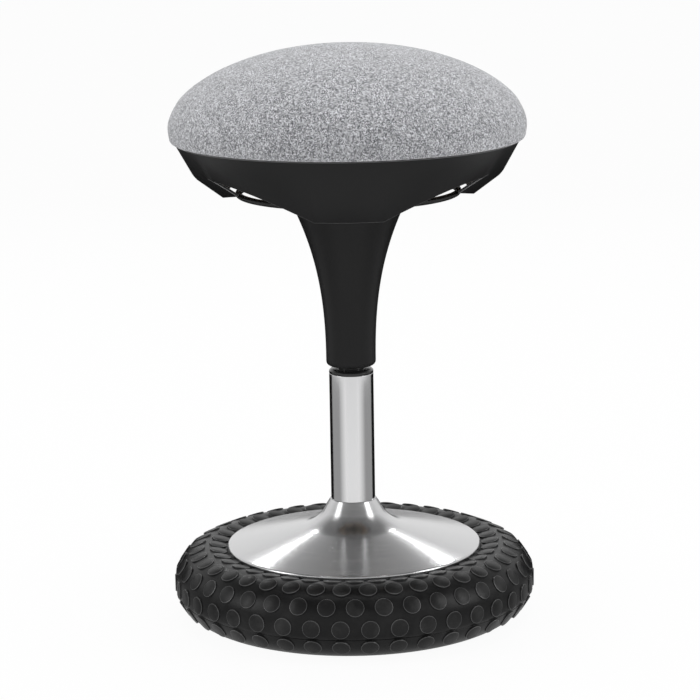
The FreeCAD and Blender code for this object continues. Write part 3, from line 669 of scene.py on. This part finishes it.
def makeTyre():
    size = tyreSize
    fresh()
    bpy.ops.mesh.primitive_torus_add(location=(0, 0, size["middle"]), major_radius=size["ring"],
                                     minor_radius=size["section"], major_segments=size["around"],
                                     minor_segments=size["across"], generate_uvs=False)
    tyre = named("studdedTyre")
    paintWith(tyre, "rubber", "studEdge")
    settle(tyre)
    pick(tyre, "vertices", lambda v: v.co.z < size["foot"])
    bpy.ops.transform.resize(value=(1, 1, 0), center_override=(0, 0, 0))
    turnAngle = math.radians(size["partingAngle"])
    partingHeight = size["middle"] + size["section"] * math.sin(turnAngle)
    partingRadius = size["ring"] + size["section"] * math.cos(turnAngle)
    leaveEdit()
    mesh = tyre.data
    pick(tyre, "edges", lambda edge: all(
        abs(mesh.vertices[i].co.z - partingHeight) < 0.0001
        and mesh.vertices[i].co.xy.length > size["ring"] for i in edge.vertices))
    bpy.ops.mesh.bevel(offset=size["partingWidth"], segments=2, profile=0.5, affect="EDGES")
    leaveEdit()
    mesh = tyre.data
    pick(tyre, "vertices", lambda v: abs(v.co.z - partingHeight) < 0.00008
         and abs(v.co.xy.length - partingRadius) < 0.0004)
    shrink = (partingRadius - size["partingDepth"]) / partingRadius
    bpy.ops.transform.resize(value=(shrink, shrink, 1), center_override=(0, 0, partingHeight))
    leaveEdit()
    master = makeStud()
    studs = []
    for angle, phase in size["rows"]:
        tip = Matrix.Rotation(math.pi / 2 - math.radians(angle), 4, "Y")
        for index in range(size["studs"]):
            swing = 2 * math.pi * (index + phase) / size["studs"] - math.pi / 2
            stud = master.copy()
            stud.data = master.data.copy()
            bpy.context.scene.collection.objects.link(stud)
            centre = Matrix.Translation((size["ring"], 0, size["middle"]))
            stud.matrix_world = Matrix.Rotation(swing, 4, "Z") @ centre @ tip
            studs.append(stud)
    bpy.data.objects.remove(master)
    fresh()
    for stud in studs:
        stud.select_set(True)
    tyre.select_set(True)
    bpy.context.view_layer.objects.active = tyre
    bpy.ops.object.join()
    settle(tyre)
    finishPiece(tyre, "base", ["tyre"], 40)


# the seat
cushionSize = {"widest": 0.1988, "widestHigh": 0.5599, "top": 0.6487, "seam": 0.1908,
               "low": 0.5427, "crownPower": 1.72, "sidePower": 2.04, "swell": 0.0016,
               "voxel": 0.0045, "sides": 128, "steps": 40, "hemSteps": 12, "held": 0.0035,
               "pressure": 4.0, "frames": 20, "quickSwell": 1.4, "weavePivot": 0.545}


def cushionProfile(inset):
    size = cushionSize
    rise = size["top"] - size["widestHigh"] - inset
    widest = size["widest"] - inset
    points = [(0.0, size["low"])]
    seam = size["seam"] - inset * 0.5
    for step in range(size["hemSteps"] + 1):
        turnAngle = math.pi / 2 * (1 - step / size["hemSteps"])
        points.append((seam + (widest - seam) * math.cos(turnAngle), size["widestHigh"]
                       - (size["widestHigh"] - size["low"]) * math.sin(turnAngle)))
    for step in range(1, size["steps"]):
        share = math.sin(math.pi / 2 * step / size["steps"])
        side = (1 - share ** size["crownPower"]) ** (1 / size["sidePower"])
        points.append((widest * side, size["widestHigh"] + rise * share))
    points.append((0.0, size["top"] - inset))
    return points


def puff(pad, before):
    size = cushionSize
    hold = pad.vertex_groups.new(name="hem")
    sewn = [v.index for v in pad.data.vertices if v.co.z < size["low"] + size["held"]]
    hold.add(sewn, 1.0, "REPLACE")
    cloth = pad.modifiers.new("puff", "CLOTH")
    cloth.settings.use_pressure = True
    cloth.settings.uniform_pressure_force = size["pressure"]
    cloth.settings.effector_weights.gravity = 0
    cloth.settings.vertex_group_mass = hold.name
    cloth.settings.quality = 5
    scene = bpy.context.scene
    for tick in range(1, size["frames"] + 1):
        scene.frame_set(tick)
    bpy.context.view_layer.objects.active = pad
    bpy.ops.object.modifier_apply(modifier=cloth.name)
    scene.frame_set(1)
    for v, old in zip(pad.data.vertices, before):
        move = v.co - old
        if move.length > size["swell"]:
            v.co = old + move * (size["swell"] / move.length)
    pad.vertex_groups.clear()


def fitPad(pad):
    size = cushionSize
    places = [v.co for v in pad.data.vertices]
    low, high = min(place.z for place in places), max(place.z for place in places)
    wide = size["widest"] / max(place.xy.length for place in places)
    tall = (size["top"] - size["low"]) / (high - low)
    pickAll(pad)
    bpy.ops.transform.resize(value=(wide, wide, tall), center_override=(0, 0, low))
    bpy.ops.transform.translate(value=(0, 0, size["low"] - low))
    leaveEdit()


def layOutWeave(pad):
    size = cushionSize
    profile = cushionProfile(0.0)[::-1]
    pivot = Vector((0.0, size["weavePivot"]))
    table = []
    run = 0.0
    for index, point in enumerate(profile):
        if index:
            run += (Vector(point) - Vector(profile[index - 1])).length
        offset = Vector(point) - pivot
        table.append((math.atan2(offset.y, offset.x), run))
    layer = pad.data.uv_layers.new(name="weave")
    arcs = []
    for v in pad.data.vertices:
        swing = math.atan2(v.co.z - pivot.y, v.co.xy.length)
        arc = table[-1][1]
        for (high, near), (low, far) in zip(table, table[1:]):
            if low <= swing <= high:
                arc = near + (far - near) * (high - swing) / max(high - low, 1e-9)
                break
        around = math.atan2(v.co.y, v.co.x)
        arcs.append((arc * math.cos(around), arc * math.sin(around)))
    for loop in pad.data.loops:
        layer.data[loop.index].uv = arcs[loop.vertex_index]


def makeCushion():
    size = cushionSize
    pad = turn("seatCushion", cushionProfile(size["swell"]), size["sides"], closed=False)
    modify(pad, "REMESH", mode="VOXEL", voxel_size=size["voxel"], adaptivity=0.0)
    pickAll(pad)
    bpy.ops.mesh.vertices_smooth(factor=0.5, repeat=1)
    leaveEdit()
    before = [v.co.copy() for v in pad.data.vertices]
    puff(pad, before)
    modify(pad, "SUBSURF", levels=1, render_levels=1)
    fitPad(pad)
    layOutWeave(pad)
    print("cushion radius", round(max(v.co.xy.length for v in pad.data.vertices), 4),
          "from", round(min(v.co.z for v in pad.data.vertices), 4),
          "to", round(max(v.co.z for v in pad.data.vertices), 4))
    paintWith(pad, "weave")
    finishPiece(pad, "seat", ["seat_cover", "seat_foam"], 60)


shellSize = {"topRadius": 0.1914, "top": 0.5424, "lean": 0.552, "apron": 0.4724,
             "wall": 0.003, "sides": 256, "start": 0.440,
             "cutHigh": 0.4095, "cutSide": 0.50, "cutFront": 0.30,
             "lobeHigh": 0.377549, "lobeSide": 0.73, "lobeFront": 0.285, "lipDrop": 0.0064,
             "opening": 0.1395, "openingTaper": 0.18, "edge": 0.0007,
             "flangeInner": 0.150, "flangeLow": 0.5269, "flangeHigh": 0.5299, "flangeSink": 0.001,
             "slopeGap": 0.08}


def slantPlane(high, side, front, signX, signY):
    normal = Vector((-side * signX, -front * signY, 1)).normalized()
    return Vector((0, 0, high)), normal


def makeShell():
    size = shellSize
    top, start = size["top"], size["start"]
    lowRadius = size["topRadius"] - (top - start) * size["lean"]
    signs = ((1, 1), (1, -1), (-1, 1), (-1, -1))
    fresh()
    bpy.ops.mesh.primitive_cone_add(vertices=size["sides"], radius1=lowRadius,
                                    radius2=size["topRadius"], depth=top - start,
                                    location=(0, 0, (top + start) / 2), end_fill_type="NGON")
    shell = named("seatShell")
    settle(shell)
    for signX, signY in signs:
        place, normal = slantPlane(size["lobeHigh"], size["lobeSide"], size["lobeFront"],
                                   signX, signY)
        pickAll(shell)
        bpy.ops.mesh.bisect(plane_co=place, plane_no=normal, use_fill=True, clear_inner=True)
    pickAll(shell)
    bpy.ops.mesh.bisect(plane_co=(0, 0, size["apron"]), plane_no=(0, 0, 1), use_fill=True,
                        clear_inner=True)
    pick(shell, "polygons", lambda face: abs(face.normal.z) > 0.98)
    bpy.ops.mesh.delete(type="FACE")

    # the slopes of the flank and of the lobes tell their faces apart
    wallSlope = -math.sin(math.atan(size["lean"]))
    lobeSlope = -1 / Vector((size["lobeSide"], size["lobeFront"], 1)).length

    def isWall(face):
        return abs(face.normal.z - wallSlope) < size["slopeGap"]

    def isLobe(face):
        return abs(face.normal.z - lobeSlope) < size["slopeGap"]

    for signX, signY in signs:
        place, normal = slantPlane(size["cutHigh"], size["cutSide"], size["cutFront"],
                                   signX, signY)
        pick(shell, "polygons", isWall)
        bpy.ops.mesh.bisect(plane_co=place, plane_no=normal)
        inside = Vector((signX, signY * size["openingTaper"], 0)).normalized()
        pick(shell, "polygons", isLobe)
        bpy.ops.mesh.bisect(plane_co=(size["opening"] * signX, 0, 0), plane_no=inside)
        place, normal = slantPlane(size["cutHigh"] - size["lipDrop"], size["cutSide"],
                                   size["cutFront"], signX, signY)
        pick(shell, "polygons", isLobe)
        bpy.ops.mesh.bisect(plane_co=place, plane_no=normal)

    def isSpare(face):
        x, y, z = abs(face.center.x), abs(face.center.y), face.center.z
        cut = size["cutHigh"] + size["cutSide"] * x + size["cutFront"] * y
        if isLobe(face):
            return x < size["opening"] - size["openingTaper"] * y or z < cut - size["lipDrop"]
        return z < cut

    pick(shell, "polygons", isSpare)
    bpy.ops.mesh.delete(type="FACE")
    cleanUp(shell, 0.00003)
    outward = sum(face.normal.x * face.center.x + face.normal.y * face.center.y
                  for face in shell.data.polygons)
    if outward < 0:
        pickAll(shell)
        bpy.ops.mesh.flip_normals()
        leaveEdit()
    paintWith(shell, "shell", "shellEdge")
    modify(shell, "SOLIDIFY", thickness=size["wall"], offset=-1, use_even_offset=True)
    # the bevel's faces take the second slot, the lighter edge finish, a painted highlight
    modify(shell, "BEVEL", width=size["edge"], segments=2, limit_method="ANGLE",
           angle_limit=math.radians(24), use_clamp_overlap=False, material=1)
    flangeOuter = size["topRadius"] - (top - size["flangeLow"]) * size["lean"] - size["flangeSink"]
    flange = turn("shellFlange", [(size["flangeInner"], size["flangeLow"]),
                                  (flangeOuter, size["flangeLow"]),
                                  (flangeOuter, size["flangeHigh"]),
                                  (size["flangeInner"], size["flangeHigh"])],
                  size["sides"] // 2)
    fresh()
    flange.select_set(True)
    shell.select_set(True)
    bpy.context.view_layer.objects.active = shell
    bpy.ops.object.join()
    finishPiece(shell, "seat", ["under_shell"], 30)


ringSize = {"radius": 0.1224, "high": 0.4848, "wire": 0.0034, "armHigh": 0.51125,
            "armStart": 0.026, "bendAt": 0.084, "bend": 0.012, "endRadius": 0.1212,
            "endHigh": 0.4860, "around": 160, "across": 20, "bendSteps": 8}


def makeRing():
    size = ringSize
    fresh()
    bpy.ops.mesh.primitive_torus_add(location=(0, 0, size["high"]), major_radius=size["radius"],
                                     minor_radius=size["wire"],
                                     major_segments=size["around"],
                                     minor_segments=size["across"], generate_uvs=False)
    ring = named("handRing")
    settle(ring)
    fresh()
    drop = math.atan2(size["armHigh"] - size["endHigh"], size["endRadius"] - size["bendAt"])
    leg = size["bend"] * math.tan(drop / 2)
    bpy.ops.mesh.primitive_circle_add(vertices=size["across"], radius=size["wire"],
                                      fill_type="NGON",
                                      location=(size["armStart"], 0, size["armHigh"]),
                                      rotation=(0, math.pi / 2, 0))
    arm = named("ringArm")
    settle(arm)
    pickAll(arm)
    run = size["bendAt"] - leg - size["armStart"]
    bpy.ops.mesh.extrude_region_move(TRANSFORM_OT_translate={"value": (run, 0, 0)})
    bpy.ops.mesh.spin(steps=size["bendSteps"], angle=drop, axis=(0, -1, 0),
                      center=(size["bendAt"] - leg, 0, size["armHigh"] - size["bend"]))
    length = math.hypot(size["endRadius"] - size["bendAt"], size["armHigh"] - size["endHigh"]) - leg
    bpy.ops.mesh.extrude_region_move(TRANSFORM_OT_translate={
        "value": (length * math.cos(drop), 0, -length * math.sin(drop))})
    cleanUp(arm)
    arms = [arm]
    for quarter in range(1, 4):
        other = arm.copy()
        other.data = arm.data.copy()
        bpy.context.scene.collection.objects.link(other)
        other.rotation_euler = (0, 0, quarter * math.pi / 2)
        arms.append(other)
    fresh()
    for other in arms:
        other.select_set(True)
    ring.select_set(True)
    bpy.context.view_layer.objects.active = ring
    bpy.ops.object.join()
    settle(ring)
    paintWith(ring, "ring")
    finishPiece(ring, "release", ["release_ring"], 50)


makeTube()
makeBush()
makeStrut()
makeShroud()
makeBasePlate()
makeTyre()
makeShell()
makeRing()
makeCushion()


# the studio, which is not part of the stool
studioSize = {"aim": 0.35, "floor": 80.0, "floorLow": -0.0002, "floorGrain": 12.0,
              "floorTones": (0.88, 0.90), "floorKeep": 0.05, "floorMirrored": 0.5,
              "skyFill": 0.55, "ceilingStart": 0.40, "ceilingBlend": 0.35, "ceilingGrey": 0.80}


def makeFloor():
    values = studioSize
    fresh()
    bpy.ops.mesh.primitive_plane_add(size=values["floor"], location=(0, 0, values["floorLow"]))
    floor = named("studioFloor")
    settle(floor)
    paper = Finish("whiteFloor")
    grain = paper.noise(paper.place(), values["floorGrain"], 2.0)
    darker, lighter = values["floorTones"]
    colour = paper.tint(grain, grey(darker), grey(lighter))
    plain = paper.node("ShaderNodeBsdfDiffuse", {}, {"Color": colour})
    glow = paper.node("ShaderNodeEmission", {}, {"Color": grey(1.0), "Strength": 1.0})
    seen = paper.node("ShaderNodeLightPath", output="Is Camera Ray")
    mirrored = paper.node("ShaderNodeLightPath", output="Is Glossy Ray")
    # the camera sees white, with a little of the stool's shadow kept
    factor = seen * (1 - values["floorKeep"]) + mirrored * values["floorMirrored"]
    floor.data.materials.append(paper.show(
        paper.node("ShaderNodeMixShader", {}, [factor, plain, glow])))


def makeSky():
    world = bpy.data.worlds.new("studioSky")
    bpy.context.scene.world = world
    sky = Finish("studioSky", world)
    height = sky.split(sky.node("ShaderNodeTexCoord", output="Generated"))[2]
    # reflections see a paler horizon and a greyer ceiling
    ceiling = ((height - studioSize["ceilingStart"]) / studioSize["ceilingBlend"]).limited()
    mirrored = sky.node("ShaderNodeLightPath", output="Is Glossy Ray")
    shown = 1 - mirrored * ceiling * studioSize["ceilingGrey"]
    seen = sky.node("ShaderNodeLightPath", output="Is Camera Ray")
    through = sky.node("ShaderNodeLightPath", output="Is Transmission Ray")
    fill = sky.node("ShaderNodeBackground", {}, {"Color": grey(1.0),
                    "Strength": studioSize["skyFill"]})
    white = sky.node("ShaderNodeBackground", {}, {"Color": grey(1.0), "Strength": shown})
    either = (seen + mirrored + through).limited()
    sky.show(sky.node("ShaderNodeMixShader", {}, [either, fill, white]),
             "ShaderNodeOutputWorld")


lamps = (
    {"name": "topBox", "place": (0.0, 0.10, 2.4), "size": (1.5, 1.1), "power": 16.0},
    {"name": "leftBox", "place": (-2.1, -0.7, 1.25), "size": (0.8, 1.4), "power": 11.0},
    {"name": "rightBox", "place": (2.1, -0.6, 1.25), "size": (0.8, 1.4), "power": 13.0},
    {"name": "backLeftBox", "place": (-0.62, 1.60, 1.36), "size": (0.14, 0.10), "power": 1.25},
    {"name": "backRightBox", "place": (0.62, 1.60, 1.36), "size": (0.14, 0.10), "power": 1.1},
    {"name": "backWall", "place": (0.0, 2.6, 1.5), "size": (3.2, 1.2), "power": 14.0,
     "mirrored": False},
)


def hangLamp(values):
    bpy.ops.object.light_add(type="AREA", location=values["place"])
    lamp = bpy.context.object
    lamp.name = values["name"]
    lamp.data.shape = "RECTANGLE"
    lamp.data.size, lamp.data.size_y = values["size"]
    lamp.data.energy = values["power"]
    lamp.visible_glossy = values.get("mirrored", True)
    aim = Vector((0, 0, studioSize["aim"])) - Vector(values["place"])
    lamp.rotation_euler = aim.to_track_quat("-Z", "Y").to_euler()


# cards stand and lie round the stool, and only reflections show them: glowing grey and black
# sheets, a painted reflection on the metal and the black parts
cardSteps = 24
upright = {"radius": 0.62, "reach": 0.0, "low": 0.0, "high": 0.175}
flat = {"radius": 0.215, "reach": 0.405, "low": 0.0004, "high": 0.0004}
wide = {"radius": 0.215, "reach": 3.30, "low": 0.0003, "high": 0.0003}
cards = (
    {"name": "greyCard", "size": upright, "from": 30, "to": 120, "tone": 0.36, "edgeTone": 0.98,
     "fade": 40},
    {"name": "greyMat", "size": flat, "from": 30, "to": 120, "tone": 0.36, "edgeTone": 0.98,
     "fade": 40},
    {"name": "blackCard", "size": upright, "from": 120, "to": 152, "tone": 0.008,
     "edgeTone": 0.008, "fade": 1},
    {"name": "blackMat", "size": wide, "from": 120, "to": 180, "tone": 0.008,
     "edgeTone": 0.008, "fade": 1},
)


def standReflectionCard(values, side):
    size = values["size"]
    fresh()
    start, end = math.radians(values["from"]), math.radians(values["to"])
    # angles are counted from the camera's side, which is towards -Y
    x, y = math.sin(start) * side * size["radius"], -math.cos(start) * size["radius"]
    bpy.ops.mesh.primitive_plane_add(size=0.001, location=(x, y, size["low"]))
    card = named(values["name"] + ("Right" if side > 0 else "Left"))
    settle(card)
    pickAll(card)
    bpy.ops.mesh.merge(type="CENTER")
    grow = size["reach"] / size["radius"]
    bpy.ops.mesh.extrude_vertices_move(TRANSFORM_OT_translate={
        "value": (x * grow, y * grow, size["high"] - size["low"])})
    pickAll(card)
    bpy.ops.mesh.spin(steps=cardSteps, angle=end - start, center=(0, 0, 0), axis=(0, 0, -side))
    leaveEdit()
    paper = Finish(card.name)
    across, along, _ = paper.split(paper.place())
    depth = -1 * along / (across * across + along * along) ** 0.5
    # the grey cards fade to near white towards the camera's side, painted reflection shading
    near, far = math.cos(start), math.cos(start + math.radians(values["fade"]))
    share = ((depth - far) / (near - far)).limited()
    colour = paper.tint(share, grey(values["tone"]), grey(values["edgeTone"]))
    # each card glows with its tone, lighting nothing and seen only in reflections
    card.data.materials.append(paper.show(paper.node(
        "ShaderNodeEmission", {}, {"Color": colour, "Strength": 1.0})))
    for ray in ("camera", "diffuse", "shadow", "transmission", "volume_scatter"):
        setattr(card, "visible_" + ray, False)


makeFloor()
makeSky()
for lampValues in lamps:
    hangLamp(lampValues)
for cardValues in cards:
    standReflectionCard(cardValues, 1)
    standReflectionCard(cardValues, -1)
print("studio ready:", len(lamps), "lamps and", 2 * len(cards), "cards")

bpy.context.scene.view_settings.view_transform = "Standard"
fresh()
bpy.context.view_layer.update()
